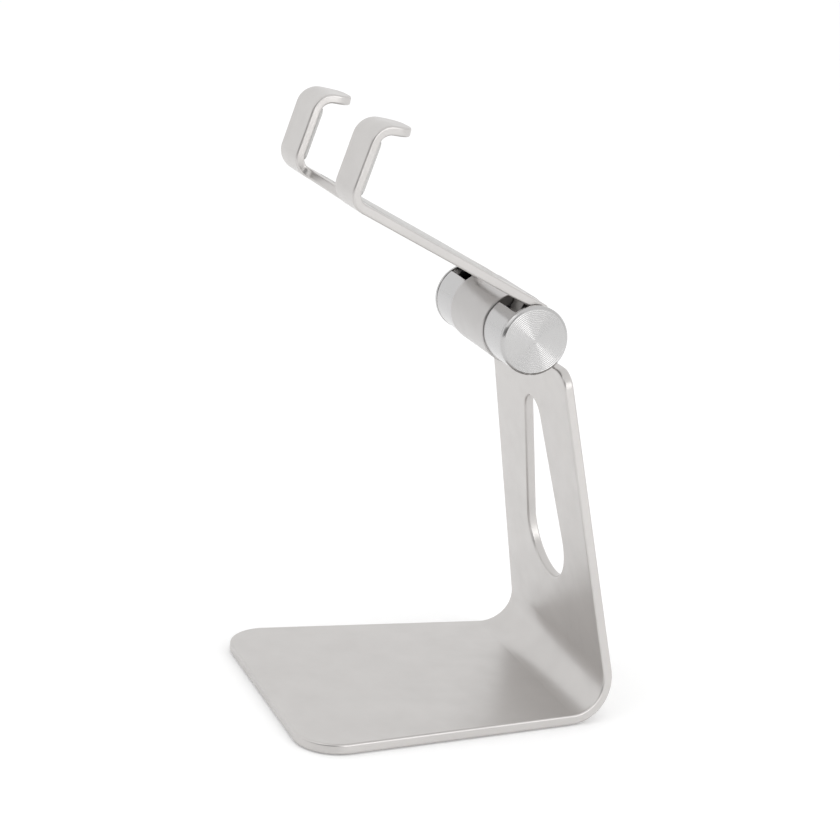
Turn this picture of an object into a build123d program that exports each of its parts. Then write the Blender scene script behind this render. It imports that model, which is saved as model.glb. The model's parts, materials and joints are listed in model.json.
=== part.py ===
"""Adjustable aluminium phone stand: a bent base and upright, a friction hinge and a hooked cradle.

Frame: +Z up, origin on the surface the stand rests on, midway along the flat of the base.
The hinge axis runs along X, the cradle points forward, towards -Y.
"""
from build123d import *
import math
import os

os.makedirs("parts", exist_ok=True)

# ---------------------------------------------------------------- driving dimensions (mm, degrees)
stand_sheet = 2.6           # aluminium plate of the stand
cradle_sheet = 2.3          # and of the cradle
edge_round = 0.55           # softened plate edges

base_length = 72.6          # flat of the base, front edge to bend
base_front_half_width = 40.0
side_taper = 0.091          # half width lost for each mm towards the back
rise_taper = 0.1125         # half width lost for each mm of height
base_corner = 10.9
bend_inner = 8.4
lean = 11.2                 # upright leans forward of the vertical
upright_length = 78.8       # bend to shoulder
shoulder_corner = 4.5
pad_thickness = 0.3
pad_inset = 2.6

slot_low_radius, slot_low_height = 11.6, 27.6      # teardrop slot, heights along the upright
slot_top_radius, slot_top_height = 5.0, 61.1

axis_height = 88.6          # hinge axis along the upright from the end of the bend
axis_offset = 6.1           # hinge axis in front of the upright's front face
knuckle_radius = 9.05
knuckle_edge = 0.25
knuckle_half = 10.9
tongue_half = 10.0
tongue_length = 90.4
tongue_root = 2.0

tilt = 27.65                # cradle above the horizontal in the rest position
plate_under = 6.6           # cradle plate's underside from the hinge axis
plate_end = 0.2             # hinge end of the plate, along the plate from the axis
cradle_hinge_half_width = 21.2
cradle_taper = 0.1245       # half width gained for each mm towards the hooks
hook_face = 62.25           # outer face of the hooks where it meets the plate's underside
hook_lean = 10.0
hook_bend_inner = 3.0
lip_rise = 18.5             # lips open away from the plate
lip_height = 28.3           # outer face of the lips where they pass lip_station, above the hinge axis
lip_station = 60.15
lip_tip = 56.35             # end of the lips' outer faces, along the plate from the axis
lip_corner = 4.6
cable_notch_half = 15.6
cable_notch_bottom = 57.55
cable_notch_corner = 2.2
knuckle_notch_depth = 9.8
knuckle_notch_half = 11.4
knuckle_notch_corner = 1.5
ear_corner = 0.8

sleeve_radius, sleeve_wall = 8.65, 1.1
sleeve_start, sleeve_end = 11.05, 22.0
sleeve_lip_angle = 64.0     # window edge, from the plate's normal towards the hooks
sleeve_gap_angle = 0.6      # other edge of the window, just behind the plate's end
cap_radius = 8.72
cap_start, cap_face = 22.15, 23.55
cap_bevel = 0.7
cap_plug_length, cap_plug_wall = 1.6, 1.5
cap_plug_clearance = 0.15   # between the plug's flat and the cradle plate

shaft_radius = 2.5
running_gap = 0.03
bush_radius, bush_length = 3.5, 7.5
spring_gap = 0.1            # around the shaft in the disc springs
washer_radius, washer_thickness = 6.4, 0.5
block_radius = 6.0
block_end = 17.0
disc_count, disc_thickness, disc_pitch = 4, 0.32, 0.45
disc_radius = 4.6
clamp_washer_radius = 5.2
nut_flats, nut_thickness = 8.0, 2.2
head_radius, head_thickness = 4.2, 2.6
shaft_end_stub = 0.3        # shaft past the nut
shaft_end_chamfer = 0.3

knuckle_screw_radius, knuckle_screw_head, knuckle_screw_length = 1.25, 2.35, 7.6
knuckle_screw_drop, knuckle_screw_spread = 5.1, 6.0
arm_screw_radius, arm_screw_head, arm_screw_length = 1.0, 1.9, 4.4
arm_screw_x, arm_screw_s = 14.2, 3.3
socket_flats, socket_depth = 1.5, 0.8
screw_clearance = 0.1       # around an arm screw in the plate
hole_spare = 0.3            # thread depth past a screw's end

shaft_flat = 2.1            # half the shaft's thickness across its drive flats
foot_end = 4.6              # arm block's foot under the plate, along the plate from the axis

hook_pad_thickness = 0.65
hook_pad_start, hook_pad_end = 16.0, 28.2   # across the hook
hook_pad_low, hook_pad_high = 10.0, 23.2    # heights above the hinge axis, along the plate's normal
hook_pad_corner = 1.5
face_pad_thickness = 0.5
face_pad_recess = 0.4
face_pad_start, face_pad_end = 13.0, 53.0   # along the plate from the axis
face_pad_margin = 3.6
face_pad_corner = 4.0

# ---------------------------------------------------------------- worked out from them
outer_bend = bend_inner + stand_sheet
y_bend = base_length / 2
sin_lean, cos_lean = math.sin(math.radians(lean)), math.cos(math.radians(lean))
bend_end = (0, y_bend + bend_inner * cos_lean, pad_thickness + outer_bend + bend_inner * sin_lean)

# local x stays X, local y climbs the upright's front face, local z points out of it to the front
upright_face = Plane(origin=bend_end, x_dir=(1, 0, 0), z_dir=(0, -cos_lean, -sin_lean))
hinge = upright_face.from_local_coords((0, axis_height, axis_offset))

# local x runs along the cradle towards its hooks, local y is the plate's normal, local z is -X
sin_tilt, cos_tilt = math.sin(math.radians(tilt)), math.cos(math.radians(tilt))
cradle_side = Plane(origin=hinge, x_dir=(0, -cos_tilt, sin_tilt), z_dir=(-1, 0, 0))
plate_top = plate_under + cradle_sheet
# local x is -X, local y runs along the plate to the hooks, local z is the plate's normal
cradle_face = Plane(
    origin=cradle_side.from_local_coords((0, plate_top, 0)),
    x_dir=(-1, 0, 0),
    z_dir=cradle_side.y_dir,
)
wide = 60.0                 # reaches past every part


def front_half_width(y):
    """Half width of the base plate at its upper surface."""
    return base_front_half_width - side_taper * (y + y_bend)


def hinge_plane(side, distance):
    """Plane across the hinge axis: local x points to the hooks, local z points out to that side."""
    origin = hinge + Vector(side * distance, 0, 0)
    return Plane(origin=origin, x_dir=cradle_side.x_dir, z_dir=(side, 0, 0))


def save(part, name):
    part.label = name
    export_step(part, f"parts/{name}.step")
    print(f"{name}: {part.volume:.1f} mm3")


def rim_edges(faces, top_limit):
    """Edges between a broad plate face and the plate's rim, below a height."""
    broad = [f for f in faces if f.area > 150 and abs(f.normal_at().X) < 0.05]
    count = {}
    for face in broad:
        for edge in face.edges():
            key = tuple(round(value, 3) for value in edge.center())
            count.setdefault(key, []).append(edge)
    once = [edges[0] for edges in count.values() if len(edges) == 1]
    return [edge for edge in once if edge.bounding_box().max.Z < top_limit]


# ---------------------------------------------------------------- stand: base and upright, one bent plate
bend_centre = (y_bend, pad_thickness + outer_bend)
# local origin on the back of the tongue, at the height of the knuckle's screws
tongue_back = Plane(
    origin=upright_face.from_local_coords((0, axis_height - knuckle_screw_drop, -stand_sheet)),
    x_dir=(1, 0, 0),
    z_dir=(0, cos_lean, sin_lean),
)
knuckle_screws_at = [(-knuckle_screw_spread, 0), (knuckle_screw_spread, 0)]


def upright_point(length, depth):
    """(Y, Z) of a point up the upright, `depth` behind its front face."""
    return (
        bend_end[1] - length * sin_lean + depth * cos_lean,
        bend_end[2] + length * cos_lean + depth * sin_lean,
    )


with BuildPart() as base_stand:
    with BuildSketch(Plane.YZ):
        with BuildLine():
            Line((-y_bend, pad_thickness + stand_sheet), (-y_bend, pad_thickness))
            Line((-y_bend, pad_thickness), (y_bend, pad_thickness))
            CenterArc(bend_centre, outer_bend, -90, 90 + lean)
            Line(upright_point(0, stand_sheet), upright_point(tongue_length, stand_sheet))
            Line(upright_point(tongue_length, stand_sheet), upright_point(tongue_length, 0))
            Line(upright_point(tongue_length, 0), upright_point(0, 0))
            CenterArc(bend_centre, bend_inner, lean, -90 - lean)
            Line((y_bend, pad_thickness + stand_sheet), (-y_bend, pad_thickness + stand_sheet))
        make_face()
    extrude(amount=wide, both=True)
    # tapered sides, one plane each
    for side in (-1, 1):
        flank = Plane(
            origin=(side * base_front_half_width, -y_bend, pad_thickness),
            z_dir=(side, side_taper, rise_taper),
        )
        split(bisect_by=flank, keep=Keep.BOTTOM)
    # shoulders either side of the tongue that carries the knuckle
    with BuildSketch(upright_face):
        with Locations((0, upright_length + wide / 2)):
            Rectangle(2 * wide, wide)
            Rectangle(2 * tongue_half, wide, mode=Mode.SUBTRACT)
    extrude(amount=-stand_sheet * 2, both=True, mode=Mode.SUBTRACT)
    with BuildSketch(upright_face):
        with Locations((0, slot_low_height)):
            Circle(slot_low_radius)
        with Locations((0, slot_top_height)):
            Circle(slot_top_radius)
        make_hull()
    extrude(amount=-stand_sheet * 2, both=True, mode=Mode.SUBTRACT)

    short_edges = base_stand.edges().filter_by(lambda e: e.length < stand_sheet * 1.2)
    front_corners = short_edges.sort_by(Axis.Y)[:2]
    fillet(front_corners, base_corner)
    short_edges = base_stand.edges().filter_by(lambda e: abs(e.length - stand_sheet) < 0.1)
    shoulder_z = upright_point(upright_length, stand_sheet / 2)[1]
    at_shoulder = short_edges.filter_by(lambda e: abs(e.center().Z - shoulder_z) < 1.5)
    fillet(at_shoulder.filter_by(lambda e: abs(e.center().X) > tongue_half + 1), shoulder_corner)
    fillet(at_shoulder.filter_by(lambda e: abs(e.center().X) < tongue_half + 1), tongue_root)
    tongue_tips = base_stand.edges().filter_by(lambda e: abs(e.length - stand_sheet) < 0.1).sort_by(Axis.Z)[-2:]
    fillet(tongue_tips, tongue_root)
    # countersunk holes for the two knuckle screws, opening on the back of the tongue
    with Locations(tongue_back):
        with Locations(*knuckle_screws_at):
            CounterSinkHole(knuckle_screw_radius, knuckle_screw_head, depth=stand_sheet)
    fillet(rim_edges(base_stand.faces(), top_limit=shoulder_z - 0.4), edge_round)
save(base_stand.part, "base_stand")

with BuildPart() as base_pad:
    with BuildSketch() as base_pad_outline:
        back, front = y_bend - pad_inset, -y_bend + pad_inset
        with BuildLine():
            Polyline(
                (front_half_width(front) - pad_inset, front),
                (front_half_width(back) - pad_inset, back),
                (-front_half_width(back) + pad_inset, back),
                (-front_half_width(front) + pad_inset, front),
                close=True,
            )
        make_face()
        fillet(base_pad_outline.vertices().sort_by(Axis.Y)[:2], base_corner - pad_inset)
    extrude(amount=pad_thickness)
save(base_pad.part, "base_pad")

# ---------------------------------------------------------------- stand side of the hinge
with BuildPart() as center_knuckle:
    with BuildSketch(Plane(origin=hinge, x_dir=(0, 1, 0), z_dir=(1, 0, 0))):
        Circle(knuckle_radius)
    extrude(amount=knuckle_half, both=True)
    fillet(center_knuckle.edges().filter_by(GeomType.CIRCLE), knuckle_edge)
    # seat for the tongue, open at the back
    with BuildSketch(upright_face) as tongue_seat:
        with Locations((0, tongue_length - wide / 2)):
            Rectangle(2 * tongue_half, wide)
        fillet(tongue_seat.vertices().group_by(Axis.Y)[-1], tongue_root)
    extrude(amount=-wide, mode=Mode.SUBTRACT)
    with BuildSketch(hinge_plane(1, -knuckle_half)):
        Circle(bush_radius)
    extrude(amount=2 * knuckle_half, mode=Mode.SUBTRACT)
    with BuildSketch(tongue_back):
        with Locations(*knuckle_screws_at):
            Circle(knuckle_screw_radius)
    extrude(amount=-knuckle_screw_length - hole_spare, mode=Mode.SUBTRACT)
save(center_knuckle.part, "center_knuckle")


def screw(plane, places, radius, head, length):
    """Countersunk socket screws whose heads lie flush with the plane, pointing into it."""
    with BuildPart() as screws:
        with BuildSketch(plane):
            with Locations(*places):
                Circle(radius)
        extrude(amount=-length)
        with BuildSketch(plane):
            with Locations(*places):
                Circle(head)
        extrude(amount=-(head - radius), taper=45)
        with BuildSketch(plane):
            with Locations(*places):
                RegularPolygon(socket_flats / math.sqrt(3), 6)
        extrude(amount=-socket_depth, mode=Mode.SUBTRACT)
    return screws.part


save(screw(tongue_back, knuckle_screws_at, knuckle_screw_radius, knuckle_screw_head,
           knuckle_screw_length), "knuckle_screws")

sides = {"left": -1, "right": 1}
for name, side in sides.items():
    with BuildPart() as bush:
        with BuildSketch(hinge_plane(side, knuckle_half - bush_length)):
            Circle(bush_radius)
            Circle(shaft_radius + running_gap, mode=Mode.SUBTRACT)
        extrude(amount=bush_length)
    save(bush.part, f"bush_{name}")

    with BuildPart() as friction_washer:
        with BuildSketch(hinge_plane(side, knuckle_half)):
            Circle(washer_radius)
            Circle(shaft_radius + running_gap, mode=Mode.SUBTRACT)
        extrude(amount=washer_thickness)
    save(friction_washer.part, f"friction_washer_{name}")

# ---------------------------------------------------------------- cradle side of the hinge
block_start = knuckle_half + washer_thickness
for name, side in sides.items():
    up = -side              # the plate's normal is local +y on the left, local -y on the right
    with BuildPart() as sleeve:
        with BuildSketch(hinge_plane(side, sleeve_start)):
            Circle(sleeve_radius)
            Circle(sleeve_radius - sleeve_wall, mode=Mode.SUBTRACT)
            with BuildLine():
                reach = 2 * sleeve_radius
                first, last = math.radians(sleeve_gap_angle), math.radians(sleeve_lip_angle)
                Polyline(
                    (0, 0),
                    (reach * math.sin(first), up * reach * math.cos(first)),
                    (reach * math.sin(last), up * reach * math.cos(last)),
                    close=True,
                )
            make_face(mode=Mode.SUBTRACT)
        extrude(amount=sleeve_end - sleeve_start)
    save(sleeve.part, f"sleeve_{name}")

    with BuildPart() as end_cap:
        with BuildSketch(hinge_plane(side, cap_start)):
            Circle(cap_radius)
        extrude(amount=cap_face - cap_start)
        outer_rim = end_cap.edges().sort_by(Axis.X)[-1 if side > 0 else 0]
        chamfer(outer_rim, cap_bevel)
        with BuildSketch(hinge_plane(side, cap_start - cap_plug_length)):
            Circle(sleeve_radius - sleeve_wall)
            Circle(sleeve_radius - sleeve_wall - cap_plug_wall, mode=Mode.SUBTRACT)
            # flat that clears the cradle plate
            with Locations((0, up * (plate_under - cap_plug_clearance + sleeve_radius))):
                Rectangle(2 * sleeve_radius, 2 * sleeve_radius, mode=Mode.SUBTRACT)
        extrude(amount=cap_plug_length)
    save(end_cap.part, f"end_cap_{name}")

    with BuildPart() as arm_block:
        with BuildSketch(hinge_plane(side, block_start)):
            Circle(block_radius)
            with Locations(((plate_end + foot_end) / 2, up * plate_under / 2)):
                Rectangle(foot_end - plate_end, plate_under)
            with BuildSketch(mode=Mode.PRIVATE) as drive_bore:
                Circle(shaft_radius)
                Rectangle(2 * shaft_radius, 2 * shaft_flat, mode=Mode.INTERSECT)
            add(drive_bore.sketch, mode=Mode.SUBTRACT)
        extrude(amount=block_end - block_start)
        with BuildSketch(cradle_face):
            with Locations((-side * arm_screw_x, arm_screw_s)):
                Circle(arm_screw_radius)
        extrude(amount=-arm_screw_length - hole_spare, mode=Mode.SUBTRACT)
    save(arm_block.part, f"arm_block_{name}")

# ---------------------------------------------------------------- cradle bracket, one bent plate
hook_slope = math.tan(math.radians(hook_lean))
wall = cradle_sheet / math.cos(math.radians(hook_lean))
lip_slope = math.tan(math.radians(lip_rise))
lip_wall = cradle_sheet / math.cos(math.radians(lip_rise))


def hook_point(height, inward=0.0):
    """(along, height) of a point on the hook's outer face, moved inwards through the plate."""
    return (hook_face + hook_slope * (height - plate_under) - inward, height)


def lip_point(along, inward=0.0):
    """(along, height) of a point on the lip's outer face, moved inwards through the plate."""
    return (along, lip_height - lip_slope * (along - lip_station) - inward)


def hook_end(inward, lip_inward):
    """(along, height) where the hook's line meets the lip's line."""
    start = hook_point(plate_under, inward)[0]
    height = lip_point(start, lip_inward)[1] + lip_slope * hook_slope * plate_under
    return hook_point(height / (1 + lip_slope * hook_slope), inward)


def plate_half_width(along):
    """Half width of the cradle plate at a distance along it from the hinge axis."""
    return cradle_hinge_half_width + cradle_taper * (along - plate_end)


def face_pad_outline():
    """Outline of the pad on the plate, on the plate's face plane."""
    near, far = face_pad_start, face_pad_end
    with BuildSketch(cradle_face) as outline:
        with BuildLine():
            Polyline(
                (plate_half_width(near) - face_pad_margin, near),
                (plate_half_width(far) - face_pad_margin, far),
                (-plate_half_width(far) + face_pad_margin, far),
                (-plate_half_width(near) + face_pad_margin, near),
                close=True,
            )
        make_face()
        fillet(outline.vertices(), face_pad_corner)
    return outline.sketch


def is_ear_corner(centre):
    """True at the two outer corners of the plate's hinge end."""
    along = (centre - hinge).dot(cradle_side.x_dir)
    return along < plate_end + 0.5 and abs(centre.X) > knuckle_notch_half + 3


def is_lip_corner(centre):
    """True at the corners of the lips' tips."""
    station = cradle_side.to_local_coords(centre)
    return station.X < lip_tip + 0.5 and station.Y > hook_pad_high


def cradle_rims(faces):
    """Edges between the bracket's broad faces and its rim."""
    broad = [
        f
        for f in faces
        if abs(f.normal_at().X) < 0.05 and abs(f.normal_at().dot(cradle_side.x_dir)) < 0.995
    ]
    count = {}
    for face in broad:
        for edge in face.edges():
            key = tuple(round(value, 3) for value in edge.center())
            count.setdefault(key, []).append(edge)
    return [edges[0] for edges in count.values() if len(edges) == 1]


arm_screws_at = [(-arm_screw_x, arm_screw_s), (arm_screw_x, arm_screw_s)]
past_hooks = hook_face + 20
lip_tip_inner = lip_tip - cradle_sheet * math.sin(math.radians(lip_rise))

with BuildPart() as cradle_bracket:
    with BuildSketch(cradle_side):
        with BuildLine():
            FilletPolyline(
                (plate_end, plate_under),
                hook_point(plate_under),
                hook_end(0, 0),
                lip_point(lip_tip),
                radius=hook_bend_inner + cradle_sheet,
            )
            Line(lip_point(lip_tip), lip_point(lip_tip_inner, lip_wall))
            FilletPolyline(
                lip_point(lip_tip_inner, lip_wall),
                hook_end(wall, lip_wall),
                hook_point(plate_top, wall),
                (plate_end, plate_top),
                radius=hook_bend_inner,
            )
            Line((plate_end, plate_top), (plate_end, plate_under))
        make_face()
    extrude(amount=wide, both=True)
    for side in (-1, 1):
        corner = cradle_side.from_local_coords((plate_end, plate_under, -side * cradle_hinge_half_width))
        flank = Plane(origin=corner, z_dir=Vector(side, 0, 0) - cradle_side.x_dir * cradle_taper)
        split(bisect_by=flank, keep=Keep.BOTTOM)
    # cable notch between the hooks, knuckle notch at the hinge
    with BuildSketch(cradle_face) as cable_notch:
        with Locations((0, (cable_notch_bottom + past_hooks) / 2)):
            Rectangle(2 * cable_notch_half, past_hooks - cable_notch_bottom)
        fillet(cable_notch.vertices().group_by(Axis.Y)[0], cable_notch_corner)
    extrude(amount=wide, both=True, mode=Mode.SUBTRACT)
    with BuildSketch(cradle_face) as knuckle_notch:
        with Locations((0, knuckle_notch_depth / 2)):
            Rectangle(2 * knuckle_notch_half, knuckle_notch_depth)
        fillet(knuckle_notch.vertices().group_by(Axis.Y)[-1], knuckle_notch_corner)
    extrude(amount=-2 * cradle_sheet, both=True, mode=Mode.SUBTRACT)
    # nothing between the lips, and rounded corners at their tips and at the plate's hinge end
    with BuildSketch(cradle_face.offset(hook_pad_low)):
        with Locations((0, past_hooks / 2)):
            Rectangle(2 * cable_notch_half, past_hooks)
    extrude(amount=wide, mode=Mode.SUBTRACT)
    corners = cradle_bracket.edges().filter_by(lambda e: abs(e.length - cradle_sheet) < 0.02)
    fillet(corners.filter_by(lambda e: is_lip_corner(e.center())), lip_corner)
    fillet(corners.filter_by(lambda e: is_ear_corner(e.center())), ear_corner)
    fillet(cradle_rims(cradle_bracket.faces()), edge_round)
    # pocket for the face pad, countersunk holes for the arm screws
    add(extrude(face_pad_outline(), amount=-face_pad_recess, mode=Mode.PRIVATE), mode=Mode.SUBTRACT)
    with Locations(cradle_face):
        with Locations(*arm_screws_at):
            CounterSinkHole(arm_screw_radius + screw_clearance, arm_screw_head, depth=cradle_sheet)
save(cradle_bracket.part, "cradle_bracket")

# ---------------------------------------------------------------- pads of the cradle
with BuildPart() as phone_pad:
    add(extrude(face_pad_outline(), amount=face_pad_thickness - face_pad_recess, mode=Mode.PRIVATE))
    add(extrude(face_pad_outline(), amount=-face_pad_recess, mode=Mode.PRIVATE))
save(phone_pad.part, "phone_pad")

# local x is -X, local y climbs the inner face of the hooks, local z points from it to the phone
hook_inner = Plane(
    origin=cradle_side.from_local_coords((*hook_point(0, wall), 0)),
    x_dir=(-1, 0, 0),
    z_dir=cradle_side.y_dir * hook_slope - cradle_side.x_dir,
)
climb = 1 / math.cos(math.radians(hook_lean))
hook_pad_width = hook_pad_end - hook_pad_start
hook_pad_height = (hook_pad_high - hook_pad_low) * climb
for name, side in sides.items():
    with BuildPart() as hook_pad:
        with BuildSketch(hook_inner):
            with Locations((-side * (hook_pad_start + hook_pad_end) / 2,
                            (hook_pad_low + hook_pad_high) / 2 * climb)):
                RectangleRounded(hook_pad_width, hook_pad_height, hook_pad_corner)
        extrude(amount=hook_pad_thickness)
        add(cradle_bracket.part, mode=Mode.SUBTRACT)
    save(hook_pad.part, f"hook_pad_{name}")

save(screw(cradle_face, arm_screws_at, arm_screw_radius, arm_screw_head, arm_screw_length),
     "arm_screws")

# ---------------------------------------------------------------- shaft and its clamping stack
# along the axis from the left: head, washer, block, knuckle, block, washer, springs, nut
head_washer_face = -block_end - washer_thickness
spring_start = block_end + washer_thickness
spring_end = spring_start + disc_count * disc_pitch
nut_end = spring_end + nut_thickness

with BuildPart() as hinge_shaft:
    with BuildSketch(hinge_plane(1, head_washer_face)):
        Circle(shaft_radius)
    extrude(amount=nut_end + shaft_end_stub - head_washer_face)
    for side in (-1, 1):
        with BuildSketch(hinge_plane(side, block_start)):
            Rectangle(2 * shaft_radius, 2 * shaft_radius)
            Rectangle(2 * shaft_radius, 2 * shaft_flat, mode=Mode.SUBTRACT)
        extrude(amount=block_end - block_start, mode=Mode.SUBTRACT)
    chamfer(hinge_shaft.edges().filter_by(GeomType.CIRCLE).sort_by(Axis.X)[-1], shaft_end_chamfer)
    with BuildSketch(hinge_plane(1, head_washer_face - head_thickness)):
        Circle(head_radius)
    extrude(amount=head_thickness)
    chamfer(hinge_shaft.edges().filter_by(GeomType.CIRCLE).sort_by(Axis.X)[0], shaft_end_chamfer)
save(hinge_shaft.part, "hinge_shaft")

for name, start in (("head_washer", head_washer_face), ("thrust_washer", block_end)):
    with BuildPart() as washer:
        with BuildSketch(hinge_plane(1, start)):
            Circle(clamp_washer_radius)
            Circle(shaft_radius + running_gap, mode=Mode.SUBTRACT)
        extrude(amount=washer_thickness)
    save(washer.part, name)

spring_bore = shaft_radius + spring_gap
with BuildPart() as disc_springs:
    # each disc is a shallow cone, stacked in opposed pairs
    for index in range(disc_count):
        low = spring_start + index * disc_pitch
        lift = disc_pitch - disc_thickness
        inner, outer = (0, lift) if index % 2 else (lift, 0)
        with BuildSketch(Plane(origin=hinge, x_dir=(1, 0, 0), z_dir=(0, 0, 1))):
            with BuildLine():
                Polyline(
                    (low + inner, spring_bore),
                    (low + outer, disc_radius),
                    (low + outer + disc_thickness, disc_radius),
                    (low + inner + disc_thickness, spring_bore),
                    close=True,
                )
            make_face()
        revolve(axis=Axis(hinge, (1, 0, 0)))
save(disc_springs.part, "disc_springs")

with BuildPart() as lock_nut:
    with BuildSketch(hinge_plane(1, spring_end)):
        RegularPolygon(nut_flats / math.sqrt(3), 6)
        Circle(shaft_radius, mode=Mode.SUBTRACT)
    extrude(amount=nut_thickness)
save(lock_nut.part, "lock_nut")
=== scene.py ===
"""Aluminium phone stand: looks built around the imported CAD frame."""
import bmesh
import bpy
import json
import math
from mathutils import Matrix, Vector


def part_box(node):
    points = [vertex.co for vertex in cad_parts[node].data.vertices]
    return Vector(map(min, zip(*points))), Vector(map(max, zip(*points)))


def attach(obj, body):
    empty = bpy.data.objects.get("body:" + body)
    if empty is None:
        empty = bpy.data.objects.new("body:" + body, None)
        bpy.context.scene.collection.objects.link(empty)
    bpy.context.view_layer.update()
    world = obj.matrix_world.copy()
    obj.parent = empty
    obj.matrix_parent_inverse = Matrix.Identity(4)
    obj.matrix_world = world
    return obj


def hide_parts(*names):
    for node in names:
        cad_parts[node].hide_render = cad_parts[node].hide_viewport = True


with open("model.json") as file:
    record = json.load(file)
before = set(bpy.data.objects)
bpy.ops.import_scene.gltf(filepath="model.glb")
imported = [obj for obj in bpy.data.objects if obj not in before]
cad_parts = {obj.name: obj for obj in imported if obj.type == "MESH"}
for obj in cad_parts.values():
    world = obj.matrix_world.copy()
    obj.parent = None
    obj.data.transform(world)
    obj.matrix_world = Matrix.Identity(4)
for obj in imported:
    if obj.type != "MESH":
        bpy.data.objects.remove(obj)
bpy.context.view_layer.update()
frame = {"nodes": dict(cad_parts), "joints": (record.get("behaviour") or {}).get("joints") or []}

MM = 0.001
scene = bpy.context.scene
nodes = frame["nodes"]
hinge = Vector(frame["joints"][0]["pos_m"])

TILT = math.radians(27.65)          # cradle plate above the horizontal at rest
TO_HOOKS = Vector((0, -math.cos(TILT), math.sin(TILT)))
PLATE_NORMAL = Vector((0, math.sin(TILT), math.cos(TILT)))

# turned caps, in millimetres
CAP_BEVEL = 0.55
CAP_PLUG = 1.6               # plug's length
CAP_PLUG_GAP = 1.17          # plug's radius below the cap's
CAP_WALL = 1.5
PLUG_FLAT = 6.45             # plug's flat from the axis, under the plate
PLUG_MARGIN = 0.1            # a ring this far inside the rim belongs to the plug
RIM_CHAMFER = 0.08
LAND_INSET = 0.12            # grooved face's edge inside the bevel
OUTER_EASE = (0.05, 0.02)    # facet at the bevel's outer edge: along the axis, across it
INNER_EASE = (0.04, 0.06)    # the same at its inner edge
GROOVE_PITCH = 0.44
GROOVE_DEPTH = 0.034
GROOVE_FADE = 0.6            # the grooves die out this near the centre
GROOVE_STEPS = 8             # rings for each groove
AROUND = 288                 # points around a cap

# meshes taken from CAD nodes
MERGE_DISTANCE = 0.0005      # millimetres
FLAT_ANGLE = math.radians(1.0)
SHARP_ANGLE = math.radians(35)
CAP_SHARP_ANGLE = math.radians(28)
BEVEL_SEGMENTS = 3

# floor and surround
FLOOR_SIZE = 4.0             # metres from the middle to each side
FLOOR_DROP = 0.02 * MM       # keeps the floor off the pad's own plane
FLOOR_GLOW = 0.16            # lightens the shadows, as on a lit table
DIM_SIDE = (0.8, -0.6, 0.0)  # side of the white surround that is dimmed
DIM_LEVELS = {"From Min": 0.45, "From Max": 0.9, "To Min": 1.02, "To Max": 0.25}


# ------------------------------------------------------------------ node helpers
class Graph:
    """A material's node tree, with one Principled shader."""

    def __init__(self, name):
        self.material = bpy.data.materials.new(name)
        self.material.use_nodes = True
        self.tree = self.material.node_tree
        self.shader = self.tree.nodes["Principled BSDF"]
        self.place = self.add("ShaderNodeTexCoord").outputs["Object"]

    def add(self, kind, **values):
        node = self.tree.nodes.new(kind)
        for key, value in values.items():
            if hasattr(node, key):
                setattr(node, key, value)
            else:
                node.inputs[key.replace("_", " ")].default_value = value
        return node

    def link(self, source, target):
        self.tree.links.new(source, target)

    def noise(self, size, detail):
        """Noise whose features are about `size` millimetres across."""
        noise = self.add("ShaderNodeTexNoise", Scale=1 / (size * MM), Detail=detail)
        self.link(self.place, noise.inputs["Vector"])
        return noise.outputs["Fac"]

    def spread(self, source, low, high):
        """Noise from 0.3 to 0.7 spread over low to high."""
        spread = self.add("ShaderNodeMapRange")
        for socket, value in (("From Min", 0.3), ("From Max", 0.7), ("To Min", low), ("To Max", high)):
            spread.inputs[socket].default_value = value
        self.link(source, spread.inputs["Value"])
        return spread.outputs["Result"]

    def colour(self, source, low, high):
        """Base colour that goes from low to high with the noise."""
        mix = self.add("ShaderNodeMix", data_type="RGBA")
        self.link(self.spread(source, 0, 1), mix.inputs["Factor"])
        for socket, value in (("A", low), ("B", high)):
            side = next(s for s in mix.inputs if s.name == socket and s.type == "RGBA")
            side.default_value = (*value, 1)
        result = next(s for s in mix.outputs if s.type == "RGBA")
        self.link(result, self.shader.inputs["Base Color"])

    def roughness(self, source, middle, spread):
        rough = self.spread(source, middle - spread, middle + spread)
        self.link(rough, self.shader.inputs["Roughness"])

    def bump(self, source, height):
        """Bump of `height` millimetres."""
        bump = self.add("ShaderNodeBump")
        bump.inputs["Strength"].default_value = 1.0
        bump.inputs["Distance"].default_value = height * MM
        self.link(source, bump.inputs["Height"])
        self.link(bump.outputs["Normal"], self.shader.inputs["Normal"])


def shade(colour, factor):
    """The colour made lighter or darker."""
    return tuple(min(1.0, c * factor) for c in colour)


def metal(name, colour, roughness, grain=0.3, grain_height=0.004, mottle=0.02, rough_spread=0.04):
    """Metal with a fine grain, a faint cloudiness and uneven roughness."""
    graph = Graph(name)
    graph.shader.inputs["Metallic"].default_value = 1.0
    clouds = graph.noise(size=14, detail=3)
    graph.colour(clouds, shade(colour, 1 - mottle), shade(colour, 1 + mottle))
    graph.roughness(graph.noise(size=5, detail=3), roughness, rough_spread)
    graph.bump(graph.noise(size=grain, detail=2), grain_height)
    return graph.material


def rubber(name, colour, roughness=0.62, mottle=0.04, rough_spread=0.06):
    """Rubber or polymer with a faint cloudiness and a fine matt texture."""
    graph = Graph(name)
    clouds = graph.noise(size=3, detail=4)
    graph.colour(clouds, shade(colour, 1 - mottle), shade(colour, 1 + mottle))
    graph.roughness(graph.noise(size=2, detail=3), roughness, rough_spread)
    graph.bump(graph.noise(size=0.25, detail=3), 0.01)
    graph.shader.inputs["Specular IOR Level"].default_value = 0.4
    return graph.material


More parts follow.
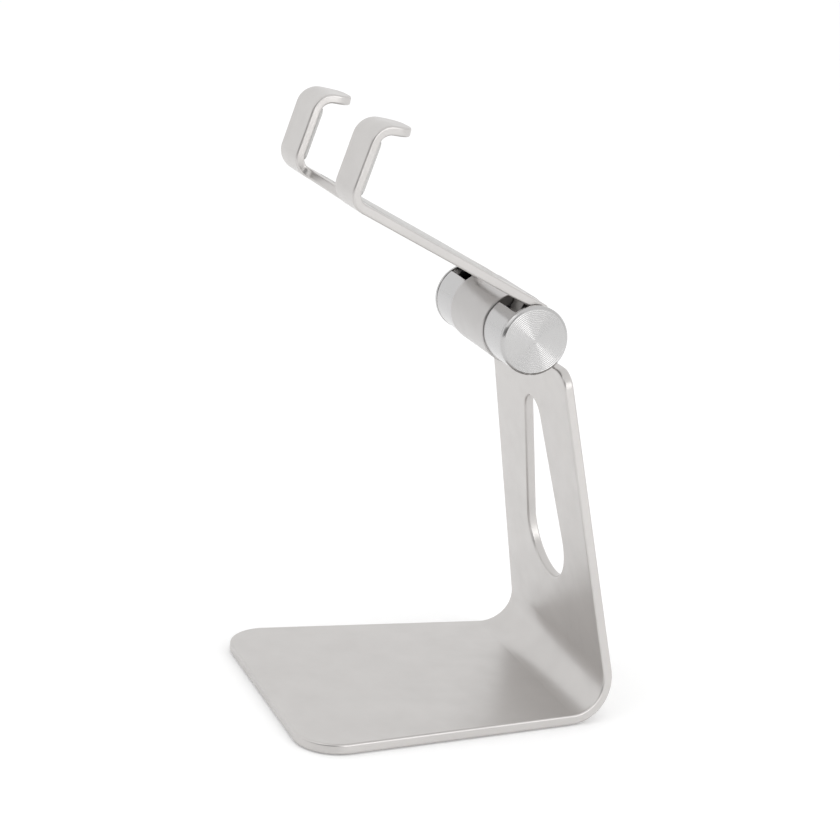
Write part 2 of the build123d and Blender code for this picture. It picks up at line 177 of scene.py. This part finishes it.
ALUMINIUM = metal("bead_blasted_aluminium", (0.578, 0.561, 0.548), 0.34)
KNUCKLE = metal("blasted_knuckle", (0.505, 0.492, 0.485), 0.32)
CHROME = metal(
    "polished_chrome", (0.53, 0.525, 0.525), 0.2,
    grain=4.0, grain_height=0.002, mottle=0.01, rough_spread=0.02,
)
TURNED = metal(
    "turned_aluminium", (0.50, 0.495, 0.492), 0.16,
    grain=0.2, grain_height=0.001, mottle=0.02, rough_spread=0.03,
)
# black finish of the arm blocks; on the cap plugs the same dark material is painted shade for the
# hinge's dim inside
BLACK_BLOCK_AND_PLUG_SHADE = metal(
    "black_block_and_plug_shade", (0.3, 0.29, 0.28), 0.42,
    grain=0.25, grain_height=0.01, mottle=0.15, rough_spread=0.08,
)
BLUED = metal(
    "spring_steel", (0.45, 0.43, 0.55), 0.3,
    grain=0.3, grain_height=0.003, mottle=0.08, rough_spread=0.06,
)
STEEL = metal(
    "ground_steel", (0.42, 0.42, 0.44), 0.26,
    grain=0.25, grain_height=0.003, mottle=0.05, rough_spread=0.05,
)
BRASS = metal(
    "turned_brass", (0.60, 0.45, 0.20), 0.25,
    grain=0.3, grain_height=0.003, mottle=0.05, rough_spread=0.05,
)
SILICONE = rubber("grey_silicone", (0.55, 0.545, 0.535))
BASE_SILICONE = rubber("dark_silicone", (0.07, 0.07, 0.072))
POLYMER = rubber("friction_polymer", (0.035, 0.035, 0.037), 0.5)


def paint(obj, material):
    """Gives obj this material alone."""
    obj.data.materials.clear()
    obj.data.materials.append(material)


for name, material in {
    "base_stand": ALUMINIUM,
    "cradle_bracket": ALUMINIUM,
    "center_knuckle": KNUCKLE,
    "knuckle_screws": STEEL,
    "arm_screws": STEEL,
    "bush_left": BRASS,
    "bush_right": BRASS,
    "friction_washer_left": POLYMER,
    "friction_washer_right": POLYMER,
    "hinge_shaft": STEEL,
    "head_washer": STEEL,
    "thrust_washer": STEEL,
    "disc_springs": BLUED,
}.items():
    paint(nodes[name], material)


# ------------------------------------------------------------------ pieces made in mesh code
def piece(name, mesh, body, slot, material, *replaced):
    """A finished piece that rides on a body and stands for CAD nodes."""
    obj = bpy.data.objects.new(name, mesh)
    scene.collection.objects.link(obj)
    paint(obj, material)
    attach(obj, body)
    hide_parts(*replaced)
    return obj


def finished_mesh(cut, name):
    """Turns the bmesh into a mesh and frees it."""
    mesh = bpy.data.meshes.new(name)
    cut.to_mesh(mesh)
    cut.free()
    return mesh


def edges_over(cut, angle):
    """Edges between two faces that meet at more than the angle."""
    return [e for e in cut.edges if len(e.link_faces) == 2 and e.calc_face_angle() > angle]


def softened(node, name, body, slot, material, width):
    """The CAD node's own shape with its sharp edges rounded over by `width` millimetres."""
    cut = bmesh.new()
    cut.from_mesh(nodes[node].data)
    bmesh.ops.remove_doubles(cut, verts=cut.verts, dist=MERGE_DISTANCE * MM)
    bmesh.ops.dissolve_limit(
        cut, angle_limit=FLAT_ANGLE, verts=cut.verts, edges=cut.edges, delimit={"NORMAL"}
    )
    bmesh.ops.bevel(
        cut,
        geom=edges_over(cut, SHARP_ANGLE),
        offset=width * MM,
        segments=BEVEL_SEGMENTS,
        profile=0.5,
        affect="EDGES",
        clamp_overlap=True,
    )
    for face in cut.faces:
        face.smooth = True
    obj = piece(name, finished_mesh(cut, name), body, slot, material, node)
    weighted = obj.modifiers.new("weighted", "WEIGHTED_NORMAL")
    weighted.keep_sharp = True


def cap_profile(radius, back, face):
    """The cap's section as pairs of distance along the axis and distance from it."""
    plug = radius - CAP_PLUG_GAP * MM
    bore = plug - CAP_WALL * MM
    tip = back - CAP_PLUG * MM
    land = radius - (CAP_BEVEL + LAND_INSET) * MM
    profile = [
        (back, bore),
        (tip, bore),
        (tip, plug),
        (back, plug),
        (back, radius - RIM_CHAMFER * MM),
        (back + RIM_CHAMFER * MM, radius),
        (face - (CAP_BEVEL + OUTER_EASE[0]) * MM, radius),
        (face - CAP_BEVEL * MM, radius - OUTER_EASE[1] * MM),
        (face - INNER_EASE[0] * MM, land + INNER_EASE[1] * MM),
        (face, land),
    ]
    count = int(land / (GROOVE_PITCH * MM)) * GROOVE_STEPS
    for step in range(1, count):
        across = land * (1 - step / count)
        wave = 0.5 - 0.5 * math.cos(2 * math.pi * step / GROOVE_STEPS)
        fade = min(1.0, across / (GROOVE_FADE * MM))
        profile.append((face - GROOVE_DEPTH * MM * wave * fade, across))
    return profile


def turned_cap(side):
    """Cap lathed from a profile: plug, short rim, diamond-cut bevel and a finely grooved face."""
    name = "left" if side < 0 else "right"
    low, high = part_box(f"end_cap_{name}")
    face = max(abs(low.x), abs(high.x))
    back = min(abs(low.x), abs(high.x)) + CAP_PLUG * MM
    plug_end = back - PLUG_MARGIN * MM
    cut = bmesh.new()
    rings = []
    for along, across in cap_profile((high.z - low.z) / 2, back, face):
        ring = []
        for turn in range(AROUND):
            angle = 2 * math.pi * turn / AROUND
            offset = TO_HOOKS * (across * math.cos(angle)) + PLATE_NORMAL * (across * math.sin(angle))
            height = offset.dot(PLATE_NORMAL)
            if along < plug_end and height > PLUG_FLAT * MM:
                offset -= PLATE_NORMAL * (height - PLUG_FLAT * MM)
            ring.append(cut.verts.new(hinge + offset + Vector((side * along, 0, 0))))
        rings.append(ring)
    for first, second in zip(rings, rings[1:]):
        for turn in range(AROUND):
            after = (turn + 1) % AROUND
            cut.faces.new((first[turn], first[after], second[after], second[turn]))
    for ring, along in ((rings[0], back), (rings[-1], face)):
        centre = cut.verts.new(hinge + Vector((side * along, 0, 0)))
        for turn in range(AROUND):
            cut.faces.new((ring[turn], ring[(turn + 1) % AROUND], centre))
    bmesh.ops.recalc_face_normals(cut, faces=cut.faces)
    for f in cut.faces:
        f.smooth = True
        # plug faces get the dark material: painted shade inside the hinge, not a finish of their own
        f.material_index = 1 if abs(f.calc_center_median().x) < plug_end else 0
    for edge in edges_over(cut, CAP_SHARP_ANGLE):
        edge.smooth = False
    mesh = finished_mesh(cut, f"turned_cap_{name}")
    piece(f"turned_cap_{name}", mesh, "cradle", "cap_aluminium", TURNED, f"end_cap_{name}")
    # second material slot: the dark material that paints shade on the plug
    mesh.materials.append(BLACK_BLOCK_AND_PLUG_SHADE)


for side in (-1, 1):
    turned_cap(side)
for name in ("left", "right"):
    softened(f"sleeve_{name}", f"rolled_sleeve_{name}", "cradle", "sleeve_chrome", CHROME, 0.14)
    softened(f"arm_block_{name}", f"cast_block_{name}", "cradle", "block_dark", BLACK_BLOCK_AND_PLUG_SHADE, 0.2)
    softened(f"hook_pad_{name}", f"silicone_hook_pad_{name}", "cradle", "silicone_grey", SILICONE, 0.22)
softened("phone_pad", "silicone_phone_pad", "cradle", "silicone_grey", SILICONE, 0.08)
softened("base_pad", "silicone_base_pad", "stand", "silicone_grey", BASE_SILICONE, 0.1)
softened("lock_nut", "chamfered_nut", "cradle", "shaft_steel", STEEL, 0.18)


# ------------------------------------------------------------------ floor, light, camera
def floor_sheet():
    """Plain pale floor."""
    cut = bmesh.new()
    bmesh.ops.create_grid(cut, x_segments=8, y_segments=8, size=FLOOR_SIZE)
    obj = bpy.data.objects.new("floor", finished_mesh(cut, "floor"))
    obj.location.z = -FLOOR_DROP
    scene.collection.objects.link(obj)
    graph = Graph("pale_floor")
    graph.colour(graph.noise(size=60, detail=2), (0.88, 0.88, 0.88), (0.90, 0.90, 0.90))
    for socket, value in (
        ("Roughness", 0.9),
        ("Specular IOR Level", 0.0),
        ("Emission Color", (1, 1, 1, 1)),
        ("Emission Strength", FLOOR_GLOW),
    ):
        graph.shader.inputs[socket].default_value = value
    paint(obj, graph.material)


def studio_world():
    """White surround, dimmer on the side that the front lights stand on."""
    world = bpy.data.worlds.new("studio")
    world.use_nodes = True
    tree = world.node_tree
    direction = tree.nodes.new("ShaderNodeTexCoord").outputs["Generated"]
    facing = tree.nodes.new("ShaderNodeVectorMath")
    facing.operation = "DOT_PRODUCT"
    facing.inputs[1].default_value = DIM_SIDE
    tree.links.new(direction, facing.inputs[0])
    level = tree.nodes.new("ShaderNodeMapRange")
    level.interpolation_type = "SMOOTHSTEP"
    for socket, value in DIM_LEVELS.items():
        level.inputs[socket].default_value = value
    tree.links.new(facing.outputs["Value"], level.inputs["Value"])
    tree.links.new(level.outputs["Result"], tree.nodes["Background"].inputs["Strength"])
    tree.nodes["Background"].inputs["Color"].default_value = (1, 1, 1, 1)
    scene.world = world


def stand_at(obj, place, right, up, back):
    """Puts obj at place, with its x, y and z axes along right, up and back."""
    scene.collection.objects.link(obj)
    matrix = obj.matrix_world.to_3x3()
    for column, axis in enumerate((right, up, back)):
        matrix.col[column] = axis
    obj.matrix_world = matrix.to_4x4()
    obj.location = place


def area_light(name, width, length, power):
    """Rectangular light, in metres and watts."""
    light = bpy.data.lights.new(name, "AREA")
    light.shape = "RECTANGLE"
    light.size, light.size_y = width, length
    light.energy = power
    return bpy.data.objects.new(name, light)


def softbox(name, place, target, width, length, power, glossy=True):
    """Area light; with glossy off it lights the floor but isn't mirrored in the metal."""
    obj = area_light(name, width, length, power)
    obj.location = place
    obj.rotation_euler = (Vector(target) - Vector(place)).to_track_quat("-Z", "Y").to_euler()
    obj.visible_glossy = glossy
    scene.collection.objects.link(obj)


def strip_light(place, target, along, width, length, power):
    """Long narrow light whose length lies along a direction: the wedges of light in the turned caps."""
    back = (Vector(place) - Vector(target)).normalized()
    across = Vector(along).cross(back).normalized()
    stand_at(area_light("strip", width, length, power), place, across, back.cross(across), back)


def camera(place, target, roll, lens):
    """Camera at place, in millimetres, that looks at target and is rolled about its own axis."""
    back = (Vector(place) - Vector(target)).normalized()
    level = Vector((0, 0, 1)).cross(back).normalized()
    right = level * math.cos(roll) + back.cross(level) * math.sin(roll)
    data = bpy.data.cameras.new("camera")
    data.lens, data.sensor_width = lens, 36.0
    data.clip_start, data.clip_end = 0.01, 50
    obj = bpy.data.objects.new("camera", data)
    stand_at(obj, Vector(place) * MM, right, back.cross(right), back)
    scene.camera = obj


floor_sheet()
studio_world()
scene.view_settings.view_transform = "Standard"

softbox(
    "overhead", place=(0.0, 0.0, 2.4), target=(-0.4, 0.2, 0),
    width=3.4, length=3.4, power=2.0, glossy=False,
)
softbox(
    "side_floor", place=(0.75, 0.3, 0.8), target=(0.6, 0.25, 0),
    width=0.6, length=0.6, power=0.6, glossy=False,
)
softbox("side_card", place=(1.2, 0.6, 0.5), target=(0, 0, 0.1), width=0.8, length=0.5, power=2.0)
softbox("key", place=(0.5, -0.9, 0.9), target=(0, 0, 0.08), width=0.8, length=0.8, power=1.5)
strip_light(
    place=(0.845, 0.087, 0.217), target=(0, 0.02, 0.1), along=(0, -0.63, 0.78),
    width=0.13, length=0.5, power=0.38,
)
camera(place=(526.3, -201.0, 237.4), target=(-2.0, 2.7, 71.7), roll=math.radians(4.09), lens=99.8)
